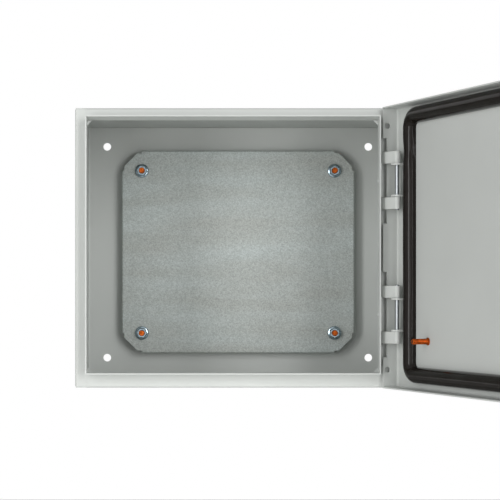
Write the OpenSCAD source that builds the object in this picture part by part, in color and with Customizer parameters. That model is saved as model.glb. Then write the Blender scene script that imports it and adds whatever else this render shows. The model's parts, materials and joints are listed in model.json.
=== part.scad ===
/* Steel wall enclosure with an open door: a folded body with a sealing lip, a mounting plate
   on weld studs, two strap hinges and a quarter-turn cam lock.
   Frame: X to the right, Z up, and the front faces -Y. The origin is the centre of the
   wall-fixing holes on the back face. Door parts are drawn closed and swung by door_angle.
   f is a distance in front of the body's front flange. */

/* [Body] */
// Outside width of the body
body_w = 300; // [280:1:400]
// Outside height of the body
body_h = 250; // [236:1:400]
// Depth from the back face to the front flange
body_d = 174.5; // [100:0.5:260]
// Thickness of the body sheet
sheet = 1.2; // [1:0.1:1.4]
// Inside radius of the body's bends
bend_r = 1.2; // [0.9:0.1:1.4]
// Left edge to the outer face of the sealing lip
flange_left = 10; // [9.6:0.1:11]
// Top edge to the outer face of the sealing lip, at its root
flange_top = 10.1; // [9:0.1:13]
// Outward lean of the top lip, which makes it a rain gutter
gutter_lean = 8.5; // [0:0.5:12]
// Bottom edge to the outer face of the sealing lip
flange_bottom = 12.5; // [10:0.5:15]
// Hinge-side edge to the outer face of the sealing lip
flange_hinge = 28.2; // [28:0.1:29]
// Step from a folded corner to the edge of the welded end panels
weld_step = 0.6; // [0.3:0.1:1]
// Leg of the gussets welded into the corners of the lip
gusset = 4.5; // [3:0.5:8]

/* [Wall fixing] */
// Outside edge to the centre of a wall-fixing hole
wall_inset = 20; // [16:0.5:24]
// Diameter of a wall-fixing hole
wall_hole_d = 7.6; // [5:0.1:9]

/* [Mounting plate] */
// Body's outside to the plate's left and right edges
plate_margin_x = 35; // [31:0.5:50]
// Body's outside to the plate's top and bottom edges
plate_margin_z = 25; // [22:0.5:36]
// Thickness of the plate
plate_t = 1.5; // [1.2:0.1:2.5]
// Inside radius of the plate's bends
plate_bend = 0.3; // [0.2:0.1:1.5]
// Back wall to the plate's front face
plate_rise = 14; // [11:0.5:20]
// Leg of the plate's cut-off corners
plate_chamfer = 15.4; // [8:0.1:17]
// Plate corner to the start of a folded edge
plate_notch = 20; // [18:0.5:26]
// Step from a folded edge to the flat corner tabs
plate_step = 2.6; // [1:0.1:3]
// Plate edge to the centre of a stud
stud_inset = 20; // [17:0.5:26]
// Thread diameter of the plate studs
stud_d = 6; // [5:0.1:6.5]
// Thread that shows past a nut
stud_over = 3; // [1:0.5:8]
// Width across flats of the flange nuts
nut_af = 10; // [9.5:0.5:12]
// Height of the flange nuts
nut_h = 6; // [4.5:0.5:8]
// Clearance round a stud in its nut
thread_clear = 0.05; // [0.02:0.01:0.08]

/* [Door] */
// Front flange to the closed door's front face
door_t = 25.5; // [25:0.1:26.5]
// Depth of the door's folded edges
door_edge = 16; // [15:0.1:16.4]
// Thickness of the door sheet
door_sheet = 1.2; // [1:0.1:1.4]
// Outside radius of the door's bends
door_r = 3; // [2.6:0.1:3.5]
// Angle at which the door stands open
door_angle = 110; // [0:1:118]
// Length of each hinge notch in the door's folded edge
notch_len = 76; // [62:1:80]
// Depth of each hinge notch
notch_depth = 3.5; // [3:0.1:4.5]
// Diameter of the drain holes in the hinge-side edge
drain_d = 5.1; // [3:0.1:6]
// Door's end to the centre of a drain hole
drain_inset = 16.5; // [12:0.5:20]
// Door's front face to the centre of a drain hole
drain_front = 11.7; // [8:0.1:12]
// Diameter of the door's earth stud
earth_d = 5; // [4:0.5:6]
// Length of the door's earth stud
earth_len = 15.4; // [10:0.1:22]
// Hinge-side edge to the earth stud
earth_x = 58; // [44:0.5:70]
// Bottom edge to the earth stud
earth_z = 43; // [35:0.5:60]
// Collar at the root of a welded stud, beyond the thread on each side
collar = 0.9; // [0.5:0.1:1.5]

/* [Gasket] */
// Width of the foamed gasket
gasket_w = 14; // [11:0.1:14.6]
// Height of the foamed gasket
gasket_h = 8.8; // [7.5:0.1:9.4]
// Outside corner radius of the gasket
gasket_r = 18; // [15:0.5:24]
// Gap between the lip and the gasket
gasket_gap = 0.3; // [0.2:0.1:0.6]

/* [Hinges] */
// Hinge-side edge to the pin's axis
pin_inset = 14.2; // [14:0.1:14.6]
// Front flange to the pin's axis
pin_front = 16.8; // [16.6:0.1:17.2]
// Diameter of the hinge pins
pin_d = 4; // [3.4:0.1:4.2]
// Clearance between a pin and its holes
pin_clear = 0.06; // [0.02:0.01:0.09]
// Body's end to the middle of a hinge
hinge_inset = 65.5; // [58:0.5:70]
// Height of a hinge leaf
leaf_h = 51; // [44:0.5:56]
// Height of each strap that wraps the pin
strap_h = 10.5; // [8:0.5:13]
// Thickness of the hinge leaf
strap_t = 1.2; // [1:0.1:1.3]
// Slope of the straps from the flange
strap_slope = 50; // [48:0.5:51]
// Angle through which a strap is rolled round its pin
strap_roll = 290; // [250:5:295]
// Front flange to the edge of the leaf between the straps
leaf_front = 13; // [10:0.5:14]
// Thickness of the door bracket
ear_t = 1.5; // [1:0.1:2]
// Gap between a strap and a bracket ear
ear_gap = 0.3; // [0.2:0.1:1]
// Radius of a bracket ear round the pin
ear_r = 5.5; // [4.5:0.1:6]
// Length of pin that shows past the inner strap
pin_over = 1; // [0.5:0.1:2]
// Shank diameter of the leaf rivets
rivet_d = 3.2; // [2.5:0.1:4]
// Front flange to the centre of a leaf rivet
rivet_front = 6; // [5:0.5:8]

/* [Lock] */
// Free edge to the lock's axis
lock_x = 36; // [35:0.5:44]
// Diameter of the lock barrel
barrel_d = 22; // [20:0.5:22]
// Clearance round the barrel in the door sheet
barrel_clear = 0.25; // [0.1:0.05:0.4]
// Length of the barrel behind the door sheet
barrel_len = 13.3; // [12:0.1:14]
// Diameter of the lock's outer collar
rosette_d = 28; // [26:0.5:30]
// Height of the lock's outer collar
rosette_h = 3; // [2:0.1:4]
// Thickness of the sealing washer
washer_t = 0.8; // [0.5:0.1:1.5]
// Height of the lock nut
lock_nut_h = 5; // [4:0.5:7]
// Width across flats of the lock nut
lock_nut_af = 27; // [25:0.5:27]
// Diameter of the turning insert
insert_d = 15; // [13:0.5:16]
// Running clearance round the insert
insert_clear = 0.06; // [0.03:0.01:0.09]
// Side of the square that carries the cam
square_w = 8; // [7:0.1:8.2]
// Depth of the key socket
socket_depth = 7; // [4:0.5:8]
// Thickness of the cam
cam_t = 2.5; // [2:0.1:3]
// Width of the cam
cam_w = 16; // [14:0.5:17]
// Reach of the cam past the lip's outer face
cam_grip = 5.5; // [4:0.5:6]
// Gap between the cam and the back of the flange
cam_gap = 0.4; // [0.3:0.1:1]
// Inside radius of the cam's bends
cam_bend = 1.5; // [1:0.1:2]
// Gap between the cam's crank and the lip
crank_gap = 3; // [2.5:0.1:4]
// Thread diameter of the cam screw
screw_d = 6; // [5:0.5:6]

/* [Hidden] */
$fn = 64;
steel = "#b9bbb8";
zinc = "#a3aaab";
copper = "#b5633a";
black = "#262321";
eps = 0.01;
// Body edges and the outer faces of the sealing lip
left = -body_w / 2;
right = body_w / 2;
top = body_h / 2;
bottom = -body_h / 2;
front = -body_d;
bend_out = bend_r + sheet;
lip_left = left + flange_left;
lip_right = right - flange_hinge;
lip_top = top - flange_top;
lip_bottom = bottom + flange_bottom;
lip_len = door_t - door_sheet - gasket_h - gasket_gap;
gutter_rise = lip_len * tan(gutter_lean);
// Door, as distances in front of the flange
door_in = door_t - door_sheet;
door_free = door_t - door_edge;
// Hinges
pin_x = right - pin_inset;
pin_r = pin_d / 2;
eye_r = pin_r + pin_clear;
hinge_z = [top - hinge_inset, bottom + hinge_inset];
ear_z = leaf_h / 2 - strap_h - ear_gap;
// Where the middle of the strap's sheet meets the middle of the leaf
root_x = lip_right + strap_t / 2 - pin_x;
root_f = (eye_r + strap_t / 2 + sin(strap_slope) * root_x) / cos(strap_slope);
leaf_back = bend_r + 0.3;
leaf_turn = 90 - strap_slope;
leaf_trim = (bend_r + strap_t / 2) * tan(leaf_turn / 2);
leaf_end = pin_front + root_f - leaf_trim;
strap_run = -root_x * cos(strap_slope) - root_f * sin(strap_slope) - leaf_trim;
// Mounting plate
plate_w = body_w - 2 * plate_margin_x;
plate_h = body_h - 2 * plate_margin_z;
plate_face = -sheet - plate_rise;
plate_out = plate_t + plate_bend;
stud_x = plate_w / 2 - stud_inset;
stud_z = plate_h / 2 - stud_inset;
nut_flange_d = nut_af * 1.34;
// Gasket, opposite the lip and clear of the door's top bend
seal_x0 = lip_left + sheet / 2;
seal_x1 = lip_right - sheet / 2;
seal_z0 = lip_bottom + sheet / 2;
seal_z1 = min(lip_top - sheet / 2 + gutter_rise / 2, top - door_r - gasket_w / 2);
seal_r = gasket_r - gasket_w / 2;
// Lock, as distances in front of the flange and from the lock's axis
lock_at = left + lock_x;
barrel_back = door_in - barrel_len;
rosette_back = door_t + washer_t;
rosette_front = rosette_back + rosette_h;
insert_step = barrel_back + 9;
neck_r = square_w * 0.75;
hub_front = barrel_back - 0.2;
hub_mid = hub_front - cam_t / 2;
arm_mid = -sheet - cam_gap - cam_t / 2;
arm_reach = lock_x - flange_left + cam_grip;
crank_at = lock_x - flange_left - sheet - crank_gap - cam_t / 2;
crank_trim = cam_bend + cam_t / 2;
crank_run = hub_mid - arm_mid - 2 * crank_trim;

// A rectangle between two corners
module box2(x0, y0, x1, y1) {
    translate([min(x0, x1), min(y0, y1)]) square([abs(x1 - x0), abs(y1 - y0)]);
}

// A rectangle between two corners, with round corners
module round_rect(x0, y0, x1, y1, r) {
    translate([x0 + r, y0]) square([x1 - x0 - 2 * r, y1 - y0]);
    translate([x0, y0 + r]) square([x1 - x0, y1 - y0 - 2 * r]);
    for (x = [x0 + r, x1 - r], y = [y0 + r, y1 - r]) translate([x, y]) circle(r);
}

// A quarter bend of sheet about a centre; sx and sy choose the quadrant
module quarter(x, y, sx, sy, r_in, r_out) {
    translate([x, y]) difference() {
        intersection() {
            circle(r_out);
            box2(0, 0, sx * 2 * r_out, sy * 2 * r_out);
        }
        circle(r_in);
    }
}

// A folded strip of sheet that starts along +X; each entry is a straight run and the turn after it
module folded(t, r, runs, i = 0) {
    if (i < len(runs)) {
        turn = runs[i][1];
        swing = abs(turn);
        translate([0, -t / 2]) square([runs[i][0], t]);
        translate([runs[i][0], 0]) mirror([0, turn < 0 ? 1 : 0]) {
            if (swing > 0)
                translate([0, r + t / 2]) rotate(-90) difference() {
                    intersection() {
                        circle(r + t);
                        wedge(swing, 3 * (r + t));
                    }
                    circle(r);
                }
            translate([0, r + t / 2]) rotate(swing) translate([0, -r - t / 2])
                mirror([0, turn < 0 ? 1 : 0]) folded(t, r, runs, i + 1);
        }
    }
}

// A wedge from the X axis round to an angle
module wedge(a, size) {
    polygon(concat([[0, 0]], [for (k = [0:6]) size * [cos(a * k / 6), sin(a * k / 6)]]));
}

// Extrusions of shapes drawn in X and f, in Y and Z, in X and Z, and in X and Y
module plan_f(z0, z1) {
    translate([0, front, z0]) mirror([0, 1, 0]) linear_extrude(z1 - z0) children();
}

module along_x(x0, x1) {
    translate([x0, 0, 0]) rotate([90, 0, 90]) linear_extrude(x1 - x0) children();
}

module along_y(y0, y1) {
    translate([0, y1, 0]) rotate([90, 0, 0]) linear_extrude(y1 - y0) children();
}

module along_z(z0, z1) {
    translate([0, 0, z0]) linear_extrude(z1 - z0) children();
}

// Puts local Z along f at mid height, with its zero at a distance in front of the flange
module from_flange(x, f) {
    translate([x, front - f, 0]) rotate([90, 0, 0]) children();
}

// Swings a part of the closed door to where the door stands
module on_door() {
    translate([pin_x, front - pin_front, 0]) rotate([0, 0, door_angle])
        translate([-pin_x, pin_front - front, 0]) children();
}

// Bend and forward lip of one side; side is -1 on the left and 1 on the right
module side_lip(side, lip) {
    quarter(lip + side * bend_r, bend_r, -side, -1, bend_r, bend_out);
    box2(lip, bend_r, lip - side * sheet, lip_len);
}

// What the gutter leaves of the side lips, which end level with its outer face
module below_gutter() {
    run = lip_len + 1;
    polygon([[front + 2 * sheet, bottom], [front + 2 * sheet, lip_top], [front, lip_top],
             [front - run, lip_top + run * tan(gutter_lean)], [front - run, bottom]]);
}

// Back wall, side walls, side flanges and side lips, folded from one sheet
module body_wrap() color(steel) difference() {
    union() {
        along_z(bottom + sheet, top - sheet) difference() {
            round_rect(left, front, right, 0, bend_out);
            round_rect(left + sheet, front + sheet, right - sheet, -sheet, bend_r);
            box2(lip_left - bend_r, front - 1, lip_right + bend_r, front + sheet + 1);
        }
        intersection() {
            plan_f(lip_bottom, top) {
                side_lip(-1, lip_left);
                side_lip(1, lip_right);
            }
            along_x(left, right) below_gutter();
        }
        for (z = [[bottom + sheet, lip_bottom], [lip_top, top - sheet]]) plan_f(z[0], z[1]) {
            box2(lip_left - bend_r - eps, -sheet, lip_left, 0);
            box2(lip_right, -sheet, lip_right + bend_r + eps, 0);
        }
    }
    along_y(-sheet - 1, 1)
        for (x = [left + wall_inset, right - wall_inset], z = [bottom + wall_inset, top - wall_inset])
            translate([x, z]) circle(d = wall_hole_d);
    for (z = hinge_z) translate([lip_right - sheet - 1, front - rivet_front, z]) rotate([0, 90, 0])
        cylinder(d = rivet_d + 2 * thread_clear, h = sheet + 2);
}

// End panel with its flange and lip, drawn for the top; the lip leans outward by an angle
module end_panel(flange, lean) {
    lip = top - flange;
    trim = (bend_r + sheet / 2) * tan((90 + lean) / 2);
    root = lip - sheet / 2 * (1 + sin(lean)) / cos(lean);
    along_z(top - sheet, top) difference() {
        round_rect(left + weld_step, front + weld_step, right - weld_step, -weld_step, bend_out - weld_step);
        box2(lip_left, front - 1, lip_right, front + bend_out);
    }
    along_x(lip_left, lip_right) {
        quarter(front + bend_out, top - bend_out, -1, 1, bend_r, bend_out);
        box2(front, root + trim, front + sheet, top - bend_out);
    }
    along_x(lip_left + sheet, lip_right - sheet) intersection() {
        translate([front + sheet / 2, top - bend_out]) rotate(-90)
            folded(sheet, bend_r, [[top - bend_out - root - trim, -90 - lean], [lip_len + 5, 0]]);
        box2(front - lip_len, bottom, 0, top);
    }
    for (x = [lip_left, lip_right - sheet]) along_x(x, x + sheet)
        box2(front, lip, front + sheet, root + trim);
}

module top_panel() color(steel) end_panel(flange_top, gutter_lean);

module bottom_panel() color(steel) mirror([0, 0, 1]) end_panel(flange_bottom, 0);

// Small gussets welded into the four corners of the lip
module corner_gussets() color(steel) along_y(front - bend_r - sheet, front - bend_r) {
    for (c = [[lip_left + sheet, lip_top - sheet, 1, -1], [lip_right - sheet, lip_top - sheet, -1, -1],
              [lip_left + sheet, lip_bottom + sheet, 1, 1], [lip_right - sheet, lip_bottom + sheet, -1, 1]])
        polygon([[c[0], c[1]], [c[0] + c[2] * gusset, c[1]], [c[0], c[1] + c[3] * gusset]]);
}

// A threaded stud with its weld collar, from a wall along local Z
module weld_stud(d, len) {
    cylinder(d = d, h = len - 0.6);
    translate([0, 0, len - 0.6]) cylinder(d1 = d, d2 = d - 1.2, h = 0.6);
    cylinder(d = d + 2 * collar, h = 1);
}

// Threaded studs welded to the back wall
module plate_studs() color(copper)
    for (x = [-stud_x, stud_x], z = [-stud_z, stud_z])
        translate([x, -sheet, z]) rotate([90, 0, 0]) weld_stud(stud_d, plate_rise + nut_h + stud_over);

// Fold of the plate across its edge; at is the outer face and side its direction
module plate_fold(at, side) {
    quarter(at - side * plate_out, plate_face + plate_out, side, -1, plate_bend, plate_out);
    box2(at, plate_face + plate_out, at - side * plate_t, -sheet);
}

// Galvanised plate with four folded edges, cut-off corners and a hole for each stud
module mounting_plate() color(zinc) {
    half_x = plate_w / 2;
    half_z = plate_h / 2;
    tab_x = half_x - plate_step;
    tab_z = half_z - plate_step;
    run_x = half_x - plate_notch;
    run_z = half_z - plate_notch;
    along_y(plate_face, plate_face + plate_t) difference() {
        union() {
            polygon([for (s = [[-1, -1], [1, -1], [1, 1], [-1, 1]], k = [0, 1])
                let (on_side = (s[0] * s[1] > 0) ? k == 0 : k == 1)
                [s[0] * (on_side ? tab_x : half_x - plate_chamfer),
                 s[1] * (on_side ? half_z - plate_chamfer : tab_z)]]);
            box2(plate_out - half_x, -run_z, half_x - plate_out, run_z);
            box2(-run_x, plate_out - half_z, run_x, half_z - plate_out);
        }
        for (side = [-1, 1]) {
            box2(side * (half_x - plate_out), -run_z, side * (half_x + 1), run_z);
            box2(-run_x, side * (half_z - plate_out), run_x, side * (half_z + 1));
            for (x = [-stud_x, stud_x]) translate([x, side * stud_z]) circle(d = stud_d + 2 * collar + 0.6);
        }
    }
    for (side = [-1, 1]) {
        along_z(-run_z, run_z) plate_fold(side * half_x, side);
        rotate([0, -90, 0]) along_z(-run_x, run_x) plate_fold(side * half_z, side);
    }
}

// Hexagon flange nuts that hold the plate on its studs
module plate_nuts() color(zinc)
    for (x = [-stud_x, stud_x], z = [-stud_z, stud_z]) translate([x, plate_face, z]) rotate([90, 0, 0])
        difference() {
            union() {
                cylinder(d = nut_flange_d, h = 1.2);
                translate([0, 0, 1.2]) cylinder(d1 = nut_flange_d, d2 = nut_af, h = 1);
                intersection() {
                    cylinder(d = nut_af * 2 / sqrt(3), h = nut_h, $fn = 6);
                    cylinder(d = nut_af * 1.12, h = nut_h);
                }
            }
            translate([0, 0, -1]) cylinder(r = stud_d / 2 + thread_clear, h = nut_h + 2);
        }

// Body side of a hinge: a leaf on the lip with two straps rolled round the pin
module hinge_leaf(z) color(steel) difference() {
    union() {
        for (s = [-1, 1]) {
            mid = z + s * (leaf_h - strap_h) / 2;
            plan_f(mid - strap_h / 2, mid + strap_h / 2)
                translate([lip_right + strap_t / 2, leaf_back]) rotate(90)
                    folded(strap_t, bend_r, [[leaf_end - leaf_back, -leaf_turn], [strap_run, 0]]);
            plan_f(mid - strap_h / 2, mid + strap_h / 2)
                translate([pin_x, pin_front]) difference() {
                    intersection() {
                        circle(eye_r + strap_t);
                        rotate(90 + strap_slope - strap_roll) wedge(strap_roll, 20);
                    }
                    circle(eye_r);
                }
        }
        plan_f(z - leaf_h / 2, z + leaf_h / 2)
            box2(lip_right, leaf_back, lip_right + strap_t, leaf_end);
        plan_f(z - leaf_h / 2 + strap_h, z + leaf_h / 2 - strap_h)
            box2(lip_right, leaf_back, lip_right + strap_t, leaf_front);
    }
    translate([lip_right - 1, front - rivet_front, z]) rotate([0, 90, 0])
        cylinder(d = rivet_d + 2 * thread_clear, h = strap_t + 2);
}

module hinge_leaf_upper() hinge_leaf(hinge_z[0]);

module hinge_leaf_lower() hinge_leaf(hinge_z[1]);

// Domed rivets that hold the leaves to the lip
module hinge_rivets() color(zinc)
    for (z = hinge_z) translate([lip_right - sheet, front - rivet_front, z]) rotate([0, 90, 0]) {
        cylinder(d = rivet_d, h = sheet + strap_t);
        rivet_head();
        translate([0, 0, sheet + strap_t]) mirror([0, 0, 1]) rivet_head();
    }

// A dome below local Z = 0
module rivet_head() {
    head_r = rivet_d * 0.78;
    head_h = rivet_d * 0.34;
    ball = (head_r * head_r + head_h * head_h) / (2 * head_h);
    intersection() {
        translate([0, 0, ball - head_h]) sphere(ball);
        translate([0, 0, -head_h - 1]) cylinder(r = head_r + 1, h = head_h + 1);
    }
}

// Hinge pin with chamfered ends; side is the direction of the end that shows
module hinge_pin(z, side) color(zinc) {
    long = leaf_h / 2 + pin_over;
    short = leaf_h / 2 - 0.5;
    low = side < 0 ? long : short;
    high = side < 0 ? short : long;
    translate([pin_x, front - pin_front, z - low]) {
        cylinder(r1 = pin_r - 0.5, r2 = pin_r, h = 0.5);
        translate([0, 0, 0.5]) cylinder(r = pin_r, h = low + high - 1);
        translate([0, 0, low + high - 0.5]) cylinder(r1 = pin_r, r2 = pin_r - 0.5, h = 0.5);
    }
}

module hinge_pin_upper() hinge_pin(hinge_z[0], -1);

module hinge_pin_lower() hinge_pin(hinge_z[1], 1);

// A tray with round front edges, open at the back; inset shrinks it on every side but the back
module tray(inset, back) {
    r = door_r - inset;
    intersection() {
        plan_f(bottom, top) difference() {
            round_rect(left + inset, back - 10, right - inset, door_t - inset, r);
            box2(left - 1, back - 11, right + 1, back);
        }
        along_x(left, right) difference() {
            round_rect(front - door_t + inset, bottom + inset, front - back + 10, top - inset, r);
            box2(front - back, bottom - 1, front - back + 11, top + 1);
        }
    }
}

// Door pressed as a tray: notched for the straps, with drain holes and the lock's hole
module door_panel() color(steel) on_door() difference() {
    tray(0, door_free);
    tray(door_sheet, door_free - 5);
    for (z = hinge_z) plan_f(z - notch_len / 2, z + notch_len / 2)
        box2(right - door_sheet - 2, door_free - 1, right + 1, door_free + notch_depth);
    for (z = [bottom + drain_inset, top - drain_inset])
        translate([right - door_sheet - 1, front - door_t + drain_front, z]) rotate([0, 90, 0])
            cylinder(d = drain_d, h = door_sheet + 2);
    from_flange(lock_at, door_in - 1)
        cylinder(r = barrel_d / 2 + barrel_clear, h = door_sheet + 2);
}

// D-shaped section of the gasket
module seal_section() {
    intersection() {
        union() {
            box2(-gasket_w / 2, 0, gasket_w / 2, gasket_h - gasket_w / 2);
            translate([0, gasket_h - gasket_w / 2]) circle(gasket_w / 2);
        }
        box2(-gasket_w, 0, gasket_w, gasket_h + 1);
    }
}

// Foamed gasket round the inside of the door, opposite the lip
module door_gasket() color(black) on_door() translate([0, front - door_in, 0]) rotate([-90, 0, 0]) {
    for (z = [-seal_z0, -seal_z1]) along_x(seal_x0 + seal_r, seal_x1 - seal_r)
        translate([z, 0]) seal_section();
    for (x = [seal_x0, seal_x1]) along_y(-seal_z1 + seal_r, -seal_z0 - seal_r)
        translate([x, 0]) seal_section();
    for (c = [[seal_x1 - seal_r, -seal_z0 - seal_r, 0], [seal_x0 + seal_r, -seal_z0 - seal_r, 90],
              [seal_x0 + seal_r, -seal_z1 + seal_r, 180], [seal_x1 - seal_r, -seal_z1 + seal_r, 270]])
        translate([c[0], c[1], 0]) rotate([0, 0, c[2]]) rotate_extrude(angle = 90)
            translate([seal_r, 0]) seal_section();
}

// Door side of a hinge: a U-shaped bracket whose ears turn on the pin
module hinge_bracket(z) color(steel) on_door() difference() {
    intersection() {
        plan_f(z - ear_z, z + ear_z) union() {
            translate([pin_x, pin_front]) circle(ear_r);
            box2(pin_x - ear_r, pin_front, pin_x + ear_r, door_in);
        }
        along_x(pin_x - 20, pin_x + 20) difference() {
            round_rect(front - door_in, z - ear_z, front + 20, z + ear_z, ear_t + 1);
            round_rect(front - door_in + ear_t, z - ear_z + ear_t, front + 30, z + ear_z - ear_t, 1);
        }
    }
    translate([pin_x, front - pin_front, z - ear_z - 1]) cylinder(r = eye_r, h = 2 * ear_z + 2);
}

module hinge_bracket_upper() hinge_bracket(hinge_z[0]);

module hinge_bracket_lower() hinge_bracket(hinge_z[1]);

// Earth stud welded to the inside of the door
module door_earth_stud() color(copper) on_door()
    translate([right - earth_x, front - door_in, bottom + earth_z]) rotate([-90, 0, 0])
        weld_stud(earth_d, earth_len);

// Lock body: an outer collar and a barrel through the door
module lock_housing() color(zinc) on_door() from_flange(lock_at, 0) difference() {
    union() {
        translate([0, 0, rosette_back]) cylinder(d = rosette_d, h = rosette_h - 1);
        translate([0, 0, rosette_front - 1]) cylinder(d1 = rosette_d, d2 = rosette_d - 2, h = 1);
        translate([0, 0, barrel_back]) cylinder(d = barrel_d, h = rosette_back - barrel_back + 1);
    }
    translate([0, 0, barrel_back - 1]) cylinder(r = neck_r + insert_clear, h = 30);
    translate([0, 0, insert_step]) cylinder(r = insert_d / 2 + insert_clear, h = 30);
}

// Sealing washer under the lock's outer collar
module lock_seal() color(black) on_door() from_flange(lock_at, door_t) difference() {
    cylinder(d = rosette_d - 1, h = washer_t);
    translate([0, 0, -1]) cylinder(r = barrel_d / 2 + thread_clear, h = washer_t + 2);
}

// Hexagon nut that clamps the lock from inside the door
module lock_nut() color(zinc) on_door() from_flange(lock_at, door_in - lock_nut_h) difference() {
    intersection() {
        cylinder(d = lock_nut_af * 2 / sqrt(3), h = lock_nut_h, $fn = 6);
        cylinder(d = lock_nut_af * 1.12, h = lock_nut_h);
    }
    translate([0, 0, -1]) cylinder(r = barrel_d / 2 + thread_clear, h = lock_nut_h + 2);
}

// Turning insert with a double-bit key socket, a neck and the cam's square
module lock_insert() color(zinc) on_door() from_flange(lock_at, 0) difference() {
    union() {
        translate([0, 0, insert_step + 0.1]) cylinder(d = insert_d, h = rosette_front - insert_step - 0.6);
        translate([0, 0, hub_front]) cylinder(r = neck_r, h = insert_step - hub_front + 1);
        translate([-square_w / 2, -square_w / 2, hub_front - cam_t + 0.1]) cube([square_w, square_w, cam_t]);
    }
    translate([0, 0, rosette_front - 0.5 - socket_depth]) linear_extrude(socket_depth + 1) difference() {
        union() {
            circle(d = insert_d * 0.5);
            square([insert_d * 0.76, insert_d * 0.2], center = true);
        }
        circle(d = insert_d * 0.27);
    }
    translate([0, 0, hub_front - cam_t - 1]) cylinder(r = screw_d / 2 + thread_clear, h = 10);
}

// Cranked cam that turns behind the flange; it hangs down when unlocked
module lock_cam() color(steel) on_door() from_flange(lock_at, 0) difference() {
    intersection() {
        along_x(-cam_w / 2 - 1, cam_w / 2 + 1) mirror([1, 0]) translate([-cam_w / 2 - 1, hub_mid])
            folded(cam_t, cam_bend, [[cam_w / 2 + 1 + crank_at - crank_trim, -90], [crank_run, 90],
                                     [arm_reach + 1 - crank_at - crank_trim, 0]]);
        along_z(-20, 30) {
            circle(d = cam_w);
            box2(-cam_w / 2, -arm_reach + 3, cam_w / 2, 0);
            box2(-cam_w / 2 + 3, -arm_reach, cam_w / 2 - 3, 0);
            for (s = [-1, 1]) translate([s * (cam_w / 2 - 3), -arm_reach + 3]) circle(3);
        }
    }
    translate([-square_w / 2 - 0.05, -square_w / 2 - 0.05, hub_front - cam_t - 1])
        cube([square_w + 0.1, square_w + 0.1, cam_t + 2]);
}

// Screw and washer that hold the cam on its square
module cam_screw() color(zinc) on_door() from_flange(lock_at, hub_front - cam_t) {
    translate([0, 0, -1.2]) cylinder(d = square_w * 1.414 + 2.5, h = 1.2);
    translate([0, 0, -4.7]) cylinder(d = screw_d * 5 / 3 * 2 / sqrt(3), h = 3.5, $fn = 6);
    cylinder(d = screw_d, h = 8);
}

body_wrap();
top_panel();
bottom_panel();
corner_gussets();
plate_studs();
mounting_plate();
plate_nuts();
hinge_leaf_upper();
hinge_leaf_lower();
hinge_rivets();
hinge_pin_upper();
hinge_pin_lower();
door_panel();
door_gasket();
hinge_bracket_upper();
hinge_bracket_lower();
door_earth_stud();
lock_housing();
lock_seal();
lock_nut();
lock_insert();
lock_cam();
cam_screw();
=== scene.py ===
"""Looks for the steel wall enclosure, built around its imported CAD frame."""
import json
import math

import bmesh
import bpy
from bpy.props import FloatProperty, FloatVectorProperty, IntProperty, PointerProperty
from mathutils import Matrix, Vector, noise


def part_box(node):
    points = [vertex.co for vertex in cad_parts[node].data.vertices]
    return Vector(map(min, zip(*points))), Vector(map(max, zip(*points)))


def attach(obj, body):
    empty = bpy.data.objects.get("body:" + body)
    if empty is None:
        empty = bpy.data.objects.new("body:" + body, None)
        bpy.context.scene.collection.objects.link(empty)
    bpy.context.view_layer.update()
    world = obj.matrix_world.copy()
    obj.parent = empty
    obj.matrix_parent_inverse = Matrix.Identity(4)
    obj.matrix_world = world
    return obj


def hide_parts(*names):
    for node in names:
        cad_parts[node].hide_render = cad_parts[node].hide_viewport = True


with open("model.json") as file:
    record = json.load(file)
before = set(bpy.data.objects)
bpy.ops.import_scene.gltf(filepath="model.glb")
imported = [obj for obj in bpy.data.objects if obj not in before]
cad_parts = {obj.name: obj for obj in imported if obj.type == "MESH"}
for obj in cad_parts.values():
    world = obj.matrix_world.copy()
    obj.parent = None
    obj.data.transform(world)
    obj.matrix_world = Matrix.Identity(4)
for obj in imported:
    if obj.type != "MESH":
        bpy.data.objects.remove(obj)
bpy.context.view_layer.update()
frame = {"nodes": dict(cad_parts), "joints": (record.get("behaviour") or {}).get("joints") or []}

bl_info = {
    "name": "Steel Wall Enclosure",
    "version": (1, 0, 0),
    "blender": (4, 5, 0),
    "location": "3D View > Sidebar > Enclosure",
    "description": "Finishes and fine pieces for a sheet-steel wall enclosure with an open door",
    "category": "Object",
}

MM = 0.001
JOINTS = {joint["name"]: joint for joint in frame["joints"]}
HINGE = JOINTS["door_hinge"]
PIN = Vector(HINGE["pos_m"])
DOOR_OPEN = math.radians(-HINGE["range_deg"][0])
# Turns a piece drawn on the closed door to where the door stands
DOOR_SWING = Matrix.Translation(PIN) @ Matrix.Rotation(DOOR_OPEN, 4, "Z") @ Matrix.Translation(-PIN)

SHELL_NODES = ("body_wrap", "top_panel", "bottom_panel", "corner_gussets", "hinge_leaf_upper",
               "hinge_leaf_lower", "hinge_rivets", "hinge_bracket_upper", "hinge_bracket_lower",
               "door_panel")
# How far a welded stud's flash stands past its thread
WELD_COLLAR = 0.9 * MM


# ---------------------------------------------------------------- colour and nodes

def linear(code):
    """Linear colour, with alpha 1, of an sRGB hex code."""
    parts = [int(code[i:i + 2], 16) / 255 for i in (1, 3, 5)]
    return tuple(c / 12.92 if c <= 0.04045 else ((c + 0.055) / 1.055) ** 2.4 for c in parts) + (1.0,)


def add(tree, kind, settings=None, inputs=None):
    """Adds a node; an input is a value or the socket that feeds it."""
    made = tree.nodes.new(kind)
    for name, value in (settings or {}).items():
        setattr(made, name, value)
    for name, value in (inputs or {}).items():
        if isinstance(value, bpy.types.NodeSocket):
            tree.links.new(value, made.inputs[name])
        else:
            made.inputs[name].default_value = value
    return made


def new_material(name):
    """An empty node material with its output, and object coordinates to draw patterns on."""
    material = bpy.data.materials.new(name)
    material.use_nodes = True
    tree = material.node_tree
    tree.nodes.clear()
    coords = add(tree, "ShaderNodeTexCoord").outputs["Object"]
    return material, tree, coords


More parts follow.
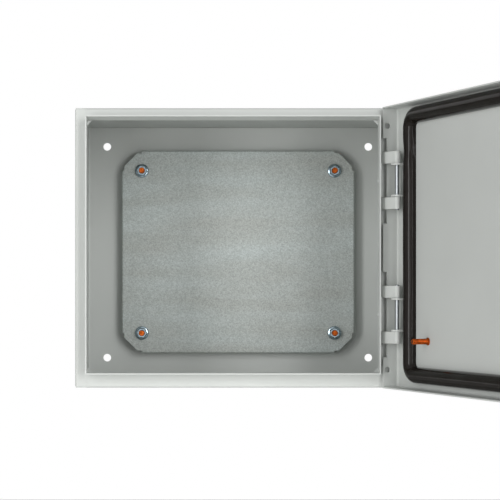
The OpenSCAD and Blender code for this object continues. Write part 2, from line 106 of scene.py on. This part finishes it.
def finish_material(material, tree, shader):
    """Wires the shader to the output, and shows its colour in the plain view too."""
    add(tree, "ShaderNodeOutputMaterial", inputs={"Surface": shader.outputs[0]})
    material.diffuse_color = shader.inputs["Base Color"].default_value
    return material


# ---------------------------------------------------------------- finishes

def ramp(tree, factor, low, high, start=0.3, end=0.7):
    """Blends two linear colours along a factor."""
    made = add(tree, "ShaderNodeValToRGB", inputs={"Fac": factor})
    for element, colour, place in zip(made.color_ramp.elements, (low, high), (start, end)):
        element.color = colour
        element.position = place
    return made.outputs["Color"]


def noise_of(tree, coords, size, detail=2.0):
    """Noise whose cells are about a size across, in metres."""
    return add(tree, "ShaderNodeTexNoise", inputs={
        "Vector": coords, "Scale": 1 / size, "Detail": detail}).outputs["Fac"]


def span(tree, value, low, high, top=1.0):
    """Maps 0..top onto low..high."""
    return add(tree, "ShaderNodeMapRange", inputs={
        "Value": value, "From Max": top, "To Min": low, "To Max": high}).outputs["Result"]


def shade(colour, factor):
    """A linear colour made lighter or darker."""
    return tuple(c * factor for c in colour[:3]) + (1.0,)


def powder_coat(colour):
    """Light grey powder coat, baked: an even colour under a soft orange peel, thicker round every edge."""
    material, tree, coords = new_material("light_grey_powder_coat")
    # Orange peel is about 1 mm from crest to crest; 1.6 mm is drawn so that it shows
    peel = noise_of(tree, coords, 1.6 * MM)
    # The coat's thickness drifts over a hand's width, which shifts its tone a little
    drift = noise_of(tree, coords, 90 * MM)
    # The coat rounds the cut edges of the sheet
    edge = add(tree, "ShaderNodeBevel", {"samples": 6}, {"Radius": 0.45 * MM})
    bump = add(tree, "ShaderNodeBump", inputs={
        "Height": peel, "Strength": 0.10, "Distance": 0.1 * MM, "Normal": edge.outputs["Normal"]})
    shader = add(tree, "ShaderNodeBsdfPrincipled", inputs={
        "Base Color": ramp(tree, drift, shade(colour, 0.975), shade(colour, 1.025)),
        "Roughness": span(tree, peel, 0.40, 0.50), "Normal": bump.outputs["Normal"], "IOR": 1.5})
    return finish_material(material, tree, shader)


def galvanised_sheet(colour):
    """Skin-passed galvanised sheet: fine dull spangle under soft grey and bluish clouds."""
    material, tree, coords = new_material("galvanised_sheet")
    # Minimised spangle, grains about 0.9 mm across, with a softer speck between them
    grain = add(tree, "ShaderNodeTexVoronoi", inputs={"Vector": coords, "Scale": 1 / (0.9 * MM)})
    tone = add(tree, "ShaderNodeSeparateColor", inputs={"Color": grain.outputs["Color"]}).outputs["Red"]
    speck = noise_of(tree, coords, 1.3 * MM, 2.0)
    mixed = add(tree, "ShaderNodeMath", {"operation": "ADD"}, {0: tone, 1: speck}).outputs[0]
    # The rolls leave bands about 20 mm wide, drawn out along the sheet
    stretch = add(tree, "ShaderNodeMapping", inputs={"Vector": coords, "Scale": (0.35, 1.0, 2.2)})
    cloud = noise_of(tree, stretch.outputs["Vector"], 45 * MM)
    cool = (colour[0] * 0.97, colour[1] * 1.01, colour[2] * 1.04, 1.0)
    tint = add(tree, "ShaderNodeHueSaturation", inputs={
        "Color": ramp(tree, cloud, shade(colour, 0.91), shade(cool, 1.08), 0.35, 0.68),
        "Value": span(tree, mixed, 0.62, 1.38, 2.0)})
    bump = add(tree, "ShaderNodeBump", inputs={"Height": mixed, "Strength": 0.07, "Distance": 0.05 * MM})
    shader = add(tree, "ShaderNodeBsdfPrincipled", inputs={
        "Base Color": tint.outputs["Color"], "Roughness": span(tree, mixed, 0.54, 0.68, 2.0),
        "Normal": bump.outputs["Normal"], "Metallic": 0.15})
    return finish_material(material, tree, shader)


def plated_metal(name, colour, roughness, contrast=0.12):
    """Plated steel with a faint mottle; the plating keeps a soft shine."""
    material, tree, coords = new_material(name)
    # Plating mottles over about 3 mm
    mottle = noise_of(tree, coords, 3 * MM, 3.0)
    dark = shade(colour, 1 - contrast)
    pale = shade(colour, 1 + contrast)
    shader = add(tree, "ShaderNodeBsdfPrincipled", inputs={
        "Base Color": ramp(tree, mottle, dark, pale, 0.35, 0.65),
        "Roughness": span(tree, mottle, roughness - 0.05, roughness + 0.05), "Metallic": 1.0})
    return finish_material(material, tree, shader)


def foam_skin(colour):
    """Foamed-in-place polyurethane: near black, with a smooth glossy skin that ripples a little."""
    material, tree, coords = new_material("foamed_seal_skin")
    # The skin ripples over about 4 mm and has pinholes under 1 mm
    ripple = noise_of(tree, coords, 4 * MM)
    pores = noise_of(tree, coords, 0.9 * MM)
    soft = add(tree, "ShaderNodeBump", inputs={"Height": ripple, "Strength": 0.2, "Distance": 0.4 * MM})
    bump = add(tree, "ShaderNodeBump", inputs={
        "Height": pores, "Strength": 0.22, "Distance": 0.1 * MM, "Normal": soft.outputs["Normal"]})
    shader = add(tree, "ShaderNodeBsdfPrincipled", inputs={
        "Base Color": ramp(tree, ripple, shade(colour, 0.85), shade(colour, 1.15)),
        "Roughness": span(tree, pores, 0.08, 0.18), "Normal": bump.outputs["Normal"],
        "Specular IOR Level": 0.14})
    return finish_material(material, tree, shader)


def dress(obj, material):
    """Gives an object one material on every face."""
    obj.data.materials.clear()
    obj.data.materials.append(material)


# ---------------------------------------------------------------- shapes

def closed_box(node):
    """Corners of a door node's box with the door closed."""
    back = DOOR_SWING.inverted()
    points = [back @ v.co for v in frame["nodes"][node].data.vertices]
    low = Vector(min(p[i] for p in points) for i in range(3))
    high = Vector(max(p[i] for p in points) for i in range(3))
    return low, high


def keep_piece(name, bm, body, material, replaces=()):
    """Turns a bmesh into a smooth-shaded piece that rides on a body."""
    bmesh.ops.remove_doubles(bm, verts=bm.verts, dist=1e-7)
    bmesh.ops.recalc_face_normals(bm, faces=bm.faces)
    for face in bm.faces:
        face.smooth = True
    mesh = bpy.data.meshes.new(name)
    bm.to_mesh(mesh)
    bm.free()
    mesh.set_sharp_from_angle(angle=math.radians(32))
    piece = bpy.data.objects.new(name, mesh)
    bpy.context.scene.collection.objects.link(piece)
    dress(piece, material)
    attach(piece, body)
    if replaces:
        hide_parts(*replaces)
    return piece


def revolve(bm, outline, place, steps=32):
    """Spins an outline of (radius, height) round the Z axis, then moves it into place."""
    verts = [bm.verts.new((radius, 0, height)) for radius, height in outline]
    edges = [bm.edges.new(pair) for pair in zip(verts, verts[1:])]
    made = bmesh.ops.spin(bm, geom=verts + edges, cent=(0, 0, 0), axis=(0, 0, 1), dvec=(0, 0, 0),
                          angle=math.tau, steps=steps, use_merge=True)
    new = {v for v in verts if v.is_valid}
    stack = list(new)
    while stack:
        for edge in stack.pop().link_edges:
            for v in edge.verts:
                if v not in new:
                    new.add(v)
                    stack.append(v)
    bmesh.ops.remove_doubles(bm, verts=list(new), dist=1e-7)
    new = [v for v in new if v.is_valid]
    bmesh.ops.transform(bm, matrix=place, verts=new)
    return made


def stud_outline(radius, length, pitch, collar):
    """Outline of a welded stud: collar, thread crests and roots, and a bevelled tip."""
    root = radius - 0.55 * pitch
    outline = [(0, 0), (radius + collar, 0), (radius + collar, 0.7 * MM),
               (radius + 0.4 * collar, 1.0 * MM), (root, 1.2 * MM)]
    height = 1.2 * MM + pitch / 2
    while height < length - 1.1 * pitch:
        outline += [(radius, height - 0.06 * pitch), (radius, height + 0.06 * pitch),
                    (root, height + pitch / 2)]
        height += pitch
    outline += [(radius - 0.2 * pitch, length - 0.8 * pitch), (root - 0.1 * pitch, length), (0, length)]
    return outline


# ---------------------------------------------------------------- settings

def length(name, description, default):
    """A length that a user may change, in metres."""
    return FloatProperty(name=name, description=description, default=default, unit="LENGTH")


def paint(name, description, code):
    """A colour that a user may change, from an sRGB hex code."""
    return FloatVectorProperty(name=name, description=description, default=linear(code), size=4,
                               subtype="COLOR", min=0, max=1)


class EnclosureFinish(bpy.types.PropertyGroup):
    shell: paint("Shell", "Powder coat of the body, the door and the hinges", "#BFC2BF")
    plate: paint("Plate", "Galvanised mounting plate", "#ADB1AD")
    zinc: paint("Zinc", "Bright zinc plating of the small parts", "#A9BAC3")
    pins: paint("Pins", "Bright steel of the hinge pins", "#8E9294")
    lock: paint("Lock", "Nickelled zinc casting of the lock", "#C0C0BC")
    copper: paint("Copper", "Copper flash of the welded studs", "#B0541F")
    gasket: paint("Gasket", "Skin of the foamed gasket", "#1B1714")


class EnclosureGasket(bpy.types.PropertyGroup):
    width: length("Width", "Width of the foamed bead", 14 * MM)
    corner: length("Corner radius", "Outside radius of the bead at a corner", 18 * MM)
    ripple: length("Ripple", "How far the bead's crown wanders", 0.3 * MM)
    joint: length("Joint", "Height of the place where the bead's ends meet", 84 * MM)
    steps: IntProperty(name="Steps", description="Rows of the bead along each straight run",
                       default=110, min=8)


class EnclosureFixings(bpy.types.PropertyGroup):
    plate_thread: length("Plate stud", "Thread diameter of the plate studs", 6 * MM)
    plate_pitch: length("Plate pitch", "Thread pitch of the plate studs", 1 * MM)
    earth_thread: length("Earth stud", "Thread diameter of the door's earth stud", 5 * MM)
    earth_pitch: length("Earth pitch", "Thread pitch of the earth stud", 0.8 * MM)
    nut_flats: length("Nut flats", "Width across flats of the plate nuts", 10 * MM)


class EnclosureStage(bpy.types.PropertyGroup):
    left: FloatProperty(name="Left", description="Power of the left softbox in watts", default=23)
    right: FloatProperty(name="Right", description="Power of the right softbox in watts", default=24)
    low_left: FloatProperty(name="Low left", description="Power of the low left lamp in watts", default=5)
    low_right: FloatProperty(name="Low right", description="Power of the low right lamp in watts", default=3)
    table: FloatProperty(name="Table", description="Power of the light that the table sends up", default=1.3)
    fill: FloatProperty(name="Fill", description="Strength of the even light from all round", default=0.24)
    camera: FloatVectorProperty(name="Camera", description="Where the camera stands", subtype="TRANSLATION",
                                default=(-0.044, -1.6845, -0.038), unit="LENGTH")
    shift: FloatVectorProperty(name="Shift", description="How far the frame is shifted", size=2,
                               default=(0.1128, 0.0808))
    lens: FloatProperty(name="Lens", description="Focal length on a 36 mm sensor", default=121.7)


# ---------------------------------------------------------------- operators

class ENCLOSURE_OT_paint(bpy.types.Operator):
    """Gives every carried-over part its finish"""
    bl_idname = "enclosure.paint"
    bl_label = "Paint the parts"

    def execute(self, context):
        look = context.scene.enclosure_finish
        finishes = {
            powder_coat(look.shell): SHELL_NODES,
            galvanised_sheet(look.plate): ("mounting_plate",),
            plated_metal("bright_zinc_plate", look.zinc, 0.30): ("lock_nut", "lock_cam", "cam_screw"),
            plated_metal("bright_drawn_steel", look.pins, 0.38, 0.03): (
                "hinge_pin_upper", "hinge_pin_lower"),
            plated_metal("nickelled_zinc_casting", look.lock, 0.28, 0.05): ("lock_housing", "lock_insert"),
            foam_skin(look.gasket): ("lock_seal",),
        }
        for material, nodes in finishes.items():
            for node in nodes:
                dress(frame["nodes"][node], material)
        return {"FINISHED"}


class ENCLOSURE_OT_gasket(bpy.types.Operator):
    """Pours the foamed gasket round the inside of the door"""
    bl_idname = "enclosure.gasket"
    bl_label = "Pour the gasket"

    def execute(self, context):
        size = context.scene.enclosure_gasket
        low, high = closed_box("door_gasket")
        half = size.width / 2
        floor, crown = low.y, high.y
        rise = crown - floor
        turn = size.corner - half
        x0, x1, z0, z1 = low.x + half, high.x - half, low.z + half, high.z - half
        bm = bmesh.new()
        # A D-shaped section, drawn across the bottom run where it starts
        arc = [math.pi * k / 14 for k in range(15)]
        foot = rise - half
        section = [(half, 0), *[(half * math.cos(a), foot + half * math.sin(a)) for a in arc], (-half, 0)]
        verts = [bm.verts.new((x0 + turn, floor + up, z0 + across)) for across, up in section]
        ring = verts + [bm.edges.new(pair) for pair in zip(verts, verts[1:] + verts[:1])]
        runs = [(Vector((x1 - x0 - 2 * turn, 0, 0)), Vector((x1 - turn, 0, z0 + turn))),
                (Vector((0, 0, z1 - z0 - 2 * turn)), Vector((x1 - turn, 0, z1 - turn))),
                (Vector((x0 - x1 + 2 * turn, 0, 0)), Vector((x0 + turn, 0, z1 - turn))),
                (Vector((0, 0, z0 - z1 + 2 * turn)), Vector((x0 + turn, 0, z0 + turn)))]
        for along, centre in runs:
            for k in range(size.steps):
                edges = [e for e in ring if isinstance(e, bmesh.types.BMEdge)]
                made = bmesh.ops.extrude_edge_only(bm, edges=edges)
                ring = made["geom"]
                moved = [v for v in ring if isinstance(v, bmesh.types.BMVert)]
                bmesh.ops.translate(bm, vec=along / size.steps, verts=moved)
                ring = moved + [e for e in ring if isinstance(e, bmesh.types.BMEdge)]
            made = bmesh.ops.spin(bm, geom=ring, cent=centre, axis=(0, -1, 0), dvec=(0, 0, 0),
                                  angle=math.pi / 2, steps=12, use_duplicate=False)
            ring = made["geom_last"]
        bmesh.ops.remove_doubles(bm, verts=bm.verts, dist=1e-6)
        for v in bm.verts:
            up = (v.co.y - floor) / rise
            wander = noise.noise(Vector((v.co.x, 0, v.co.z)) / (26 * MM))
            slow = noise.noise(Vector((v.co.x + 1, 3, v.co.z)) / (70 * MM))
            v.co.y -= size.ripple * up * (0.8 + wander)
            sway = noise.noise(Vector((0, 0, v.co.z)) / (30 * MM))
            lift = noise.noise(Vector((v.co.x, 7, 0)) / (30 * MM))
            v.co += Vector((sway, 0, lift)) * size.ripple * up * (0.6 + slow)
            # The bead's two ends meet on the hinge side, where it narrows and dips
            if v.co.x > x1 - half:
                near = math.exp(-((v.co.z - size.joint) / (9 * MM)) ** 2)
                v.co.x = x1 + (v.co.x - x1) * (1 - 0.12 * near)
                v.co.y -= rise * up * 0.10 * near
        bmesh.ops.transform(bm, matrix=DOOR_SWING, verts=bm.verts)
        skin = foam_skin(context.scene.enclosure_finish.gasket)
        keep_piece("foam_gasket", bm, "door", skin, ["door_gasket"])
        return {"FINISHED"}


class ENCLOSURE_OT_studs(bpy.types.Operator):
    """Cuts the threads of the plate studs and the door's earth stud"""
    bl_idname = "enclosure.studs"
    bl_label = "Thread the studs"

    def execute(self, context):
        size = context.scene.enclosure_fixings
        copper = plated_metal("copper_flashed_steel", context.scene.enclosure_finish.copper, 0.34, 0.40)
        low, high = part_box("plate_studs")
        edge = size.plate_thread / 2 + WELD_COLLAR
        thread = stud_outline(size.plate_thread / 2, high.y - low.y, size.plate_pitch, WELD_COLLAR)
        bm = bmesh.new()
        for x in (low.x + edge, high.x - edge):
            for z in (low.z + edge, high.z - edge):
                place = Matrix.Translation((x, high.y, z)) @ Matrix.Rotation(math.pi / 2, 4, "X")
                revolve(bm, thread, place)
        keep_piece("threaded_plate_studs", bm, "enclosure", copper, ["plate_studs"])
        low, high = closed_box("door_earth_stud")
        bm = bmesh.new()
        foot = Vector(((low.x + high.x) / 2, low.y, (low.z + high.z) / 2))
        place = DOOR_SWING @ Matrix.Translation(foot) @ Matrix.Rotation(-math.pi / 2, 4, "X")
        thread = stud_outline(size.earth_thread / 2, high.y - low.y, size.earth_pitch, WELD_COLLAR)
        revolve(bm, thread, place)
        keep_piece("threaded_earth_stud", bm, "door", copper, ["door_earth_stud"])
        return {"FINISHED"}


class ENCLOSURE_OT_nuts(bpy.types.Operator):
    """Forges the flange nuts that hold the mounting plate"""
    bl_idname = "enclosure.nuts"
    bl_label = "Forge the nuts"

    def execute(self, context):
        size = context.scene.enclosure_fixings
        zinc = plated_metal("blue_zinc_nut", shade(context.scene.enclosure_finish.zinc, 0.82), 0.22)
        low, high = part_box("plate_nuts")
        height = high.y - low.y
        flange = size.nut_flats * 0.67
        bore = size.plate_thread / 2 + 0.30 * MM
        flats = size.nut_flats / 2
        corner = flats * 2 / math.sqrt(3)
        # The share of the hexagon that is left at its crown
        crown_share = 0.80
        bm = bmesh.new()
        for x in (low.x + flange, high.x - flange):
            for z in (low.z + flange, high.z - flange):
                # Each nut came to rest at its own angle
                turn = Matrix.Rotation(0.2 + 9 * x, 4, "Z")
                place = Matrix.Translation((x, high.y, z)) @ Matrix.Rotation(math.pi / 2, 4, "X") @ turn
                # Flange, with its rolled edge and the cone that rises to the hexagon
                revolve(bm, [(bore, 0), (flange - 0.3 * MM, 0), (flange, 0.4 * MM), (flange, 0.9 * MM),
                             (flange - 0.3 * MM, 1.2 * MM), (flats * 1.02, 1.7 * MM),
                             (bore, 1.7 * MM), (bore, 0)], place, 48)
                # Hexagon, drawn in at the top where it is turned to a cone
                made = bmesh.ops.create_circle(bm, segments=6, radius=corner, cap_ends=True)
                faces = list({f for v in made["verts"] for f in v.link_faces})
                bmesh.ops.translate(bm, vec=(0, 0, 1.4 * MM), verts=made["verts"])
                side = bmesh.ops.extrude_face_region(bm, geom=faces)
                top = [v for v in side["geom"] if isinstance(v, bmesh.types.BMVert)]
                bmesh.ops.translate(bm, vec=(0, 0, height - 1.4 * MM - 0.8 * MM), verts=top)
                cap = [f for f in side["geom"] if isinstance(f, bmesh.types.BMFace)]
                rim = bmesh.ops.extrude_face_region(bm, geom=cap)
                last = [v for v in rim["geom"] if isinstance(v, bmesh.types.BMVert)]
                bmesh.ops.translate(bm, vec=(0, 0, 0.8 * MM), verts=last)
                bmesh.ops.scale(bm, vec=(crown_share, crown_share, 1), verts=last)
                bmesh.ops.delete(bm, geom=cap, context="FACES_ONLY")
                every = made["verts"] + top + last
                crown = [f for f in rim["geom"] if isinstance(f, bmesh.types.BMFace)]
                rim_width = flats * crown_share - bore * 1.05
                ring = bmesh.ops.inset_region(bm, faces=crown, thickness=rim_width)
                # The bore drops away inside the crown
                wall = bmesh.ops.inset_region(bm, faces=crown, thickness=0.05 * MM)
                sunk = list({v for f in crown for v in f.verts})
                bmesh.ops.translate(bm, vec=(0, 0, -1.2 * MM), verts=sunk)
                hexagon = {v for v in every if v.is_valid}
                for face in crown + ring["faces"] + wall["faces"]:
                    if face.is_valid:
                        hexagon.update(face.verts)
                bmesh.ops.transform(bm, matrix=place, verts=list(hexagon))
        keep_piece("zinc_flange_nuts", bm, "enclosure", zinc, ["plate_nuts"])
        return {"FINISHED"}


class ENCLOSURE_OT_stage(bpy.types.Operator):
    """Sets the floor, the lights, the world and the camera"""
    bl_idname = "enclosure.stage"
    bl_label = "Set the stage"

    def execute(self, context):
        size = context.scene.enclosure_stage
        scene = context.scene
        floor_bm = bmesh.new()
        bmesh.ops.create_grid(floor_bm, x_segments=1, y_segments=1, size=1.6)
        bmesh.ops.translate(floor_bm, vec=(0, -0.2, -0.42), verts=floor_bm.verts)
        mesh = bpy.data.meshes.new("floor")
        floor_bm.to_mesh(mesh)
        floor_bm.free()
        floor = bpy.data.objects.new("floor", mesh)
        scene.collection.objects.link(floor)
        material, tree, _ = new_material("pale_studio_floor")
        shader = add(tree, "ShaderNodeBsdfPrincipled", inputs={
            "Base Color": linear("#F4F4F2"), "Roughness": 0.9})
        dress(floor, finish_material(material, tree, shader))

        world = bpy.data.worlds.new("studio")
        scene.world = world
        world.use_nodes = True
        tree = world.node_tree
        tree.nodes.clear()
        rays = add(tree, "ShaderNodeLightPath")
        seen = rays.outputs["Is Camera Ray"]
        for ray in ("Is Glossy Ray", "Is Transmission Ray"):
            pair = {0: seen, 1: rays.outputs[ray]}
            seen = add(tree, "ShaderNodeMath", {"operation": "MAXIMUM"}, pair).outputs[0]
        shown = add(tree, "ShaderNodeBackground", inputs={"Color": (1, 1, 1, 1), "Strength": 1.0})
        light = add(tree, "ShaderNodeBackground", inputs={"Color": (1, 1, 1, 1), "Strength": size.fill})
        mix = add(tree, "ShaderNodeMixShader", inputs={0: seen, 1: light.outputs[0], 2: shown.outputs[0]})
        add(tree, "ShaderNodeOutputWorld", inputs={"Surface": mix.outputs[0]})

        for name, place, wide, tall, power in (
                ("left_softbox", (-1.3, -1.9, 0.25), 0.45, 1.6, size.left),
                ("right_softbox", (0.95, -2.05, 0.45), 0.8, 1.4, size.right),
                ("low_left_lamp", (-0.7, -2.3, -0.3), 0.4, 1.1, size.low_left),
                ("low_right_lamp", (0.7, -2.3, -0.5), 0.8, 0.8, size.low_right),
                ("table_bounce", (0.0, -0.35, -0.41), 1.4, 0.35, size.table)):
            lamp = bpy.data.lights.new(name, "AREA")
            lamp.shape = "RECTANGLE"
            lamp.size = wide
            lamp.size_y = tall
            lamp.energy = power
            box = bpy.data.objects.new(name, lamp)
            box.location = place
            box.rotation_euler = (Vector((0, -0.1, 0)) - Vector(place)).to_track_quat("-Z", "Y").to_euler()
            box.visible_camera = False
            scene.collection.objects.link(box)

        camera = bpy.data.cameras.new("camera")
        camera.sensor_width = 36
        camera.lens = size.lens
        camera.shift_x = size.shift[0]
        camera.shift_y = size.shift[1]
        camera.clip_start = 0.05
        camera.clip_end = 50
        eye = bpy.data.objects.new("camera", camera)
        eye.location = size.camera
        eye.rotation_euler = (math.pi / 2, 0, 0)
        scene.collection.objects.link(eye)
        scene.camera = eye
        scene.view_settings.view_transform = "Standard"
        return {"FINISHED"}


class ENCLOSURE_PT_panel(bpy.types.Panel):
    """Lists the enclosure's settings and steps"""
    bl_label = "Steel Wall Enclosure"
    bl_idname = "ENCLOSURE_PT_panel"
    bl_space_type = "VIEW_3D"
    bl_region_type = "UI"
    bl_category = "Enclosure"

    def draw(self, context):
        layout = self.layout
        for key in GROUPS:
            group = getattr(context.scene, key)
            box = layout.box()
            box.label(text=key.split("_")[1].title())
            for name in group.__annotations__:
                box.prop(group, name)
        for step in STEPS:
            layout.operator(step.bl_idname)


GROUPS = {"enclosure_finish": EnclosureFinish, "enclosure_gasket": EnclosureGasket,
          "enclosure_fixings": EnclosureFixings, "enclosure_stage": EnclosureStage}
STEPS = (ENCLOSURE_OT_paint, ENCLOSURE_OT_gasket, ENCLOSURE_OT_studs, ENCLOSURE_OT_nuts, ENCLOSURE_OT_stage)
CLASSES = (*GROUPS.values(), *STEPS, ENCLOSURE_PT_panel)


def register():
    for item in CLASSES:
        bpy.utils.register_class(item)
    for name, group in GROUPS.items():
        setattr(bpy.types.Scene, name, PointerProperty(type=group))


def unregister():
    for name in GROUPS:
        delattr(bpy.types.Scene, name)
    for item in reversed(CLASSES):
        bpy.utils.unregister_class(item)


def main():
    register()
    for step in STEPS:
        group, name = step.bl_idname.split(".")
        getattr(getattr(bpy.ops, group), name)()


if __name__ == "__main__":
    main()
